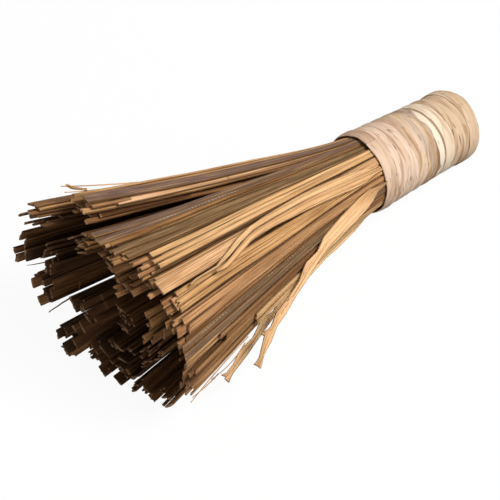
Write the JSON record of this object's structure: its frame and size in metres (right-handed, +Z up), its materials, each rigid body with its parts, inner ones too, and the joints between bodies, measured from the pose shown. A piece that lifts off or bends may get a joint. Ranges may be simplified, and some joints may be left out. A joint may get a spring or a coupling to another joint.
{
  "type": "bamboo wok brush",
  "caption": "Hand brush of flat split-bamboo strips, bound tightly at one end with lapped bast ribbon and splayed into a fan of square-cut tips at the other.",
  "frame": {"origin": "on the surface the brush lies on, under the middle of its bounding box", "axes": "+Z up; the brush lies along X, with its bound butt at +X and its splayed tips at -X; its tips and its butt band rest on Z = 0"},
  "size_m": [0.2608, 0.1206, 0.1036],
  "materials": {
    "bamboo": "matt split bamboo, warm tan to dark brown, unvarnished",
    "bast_pink": "matt dry bast ribbon, pinkish cream",
    "bast_amber": "matt dry bast ribbon, amber",
    "bast_grey": "matt dry bast ribbon, grey-brown",
    "bast_cream": "matt dry bast ribbon, light cream",
    "bast_tan": "matt dry bast ribbon, tan"
  },
  "bodies": {
    "root": {"splints_outer_tuft_01": "bamboo", "splints_outer_tuft_02": "bamboo", "splints_outer_tuft_03": "bamboo", "splints_outer_tuft_04": "bamboo", "splints_outer_tuft_05": "bamboo", "splints_outer_tuft_06": "bamboo", "splints_outer_tuft_07": "bamboo", "splints_outer_tuft_08": "bamboo", "splints_outer_tuft_09": "bamboo", "splints_outer_tuft_10": "bamboo", "splints_outer_tuft_11": "bamboo", "splints_outer_tuft_12": "bamboo", "splints_outer_tuft_13": "bamboo", "splints_inner_tuft_01": "bamboo", "splints_inner_tuft_02": "bamboo", "splints_inner_tuft_03": "bamboo", "splints_inner_tuft_04": "bamboo", "splints_inner_tuft_05": "bamboo", "splints_inner_tuft_06": "bamboo", "splints_inner_tuft_07": "bamboo", "splints_core": "bamboo", "stray_splint_long": "bamboo", "stray_splint_split": "bamboo", "stray_splint_crossing": "bamboo", "binding_ribbon_rim": "bast_pink", "binding_ribbon_amber": "bast_amber", "binding_ribbon_twisted": "bast_grey", "binding_ribbon_bright": "bast_cream", "binding_ribbon_butt": "bast_tan", "binding_band_rim": "bast_pink", "binding_band_butt": "bast_tan"}
  },
  "joints": []
}
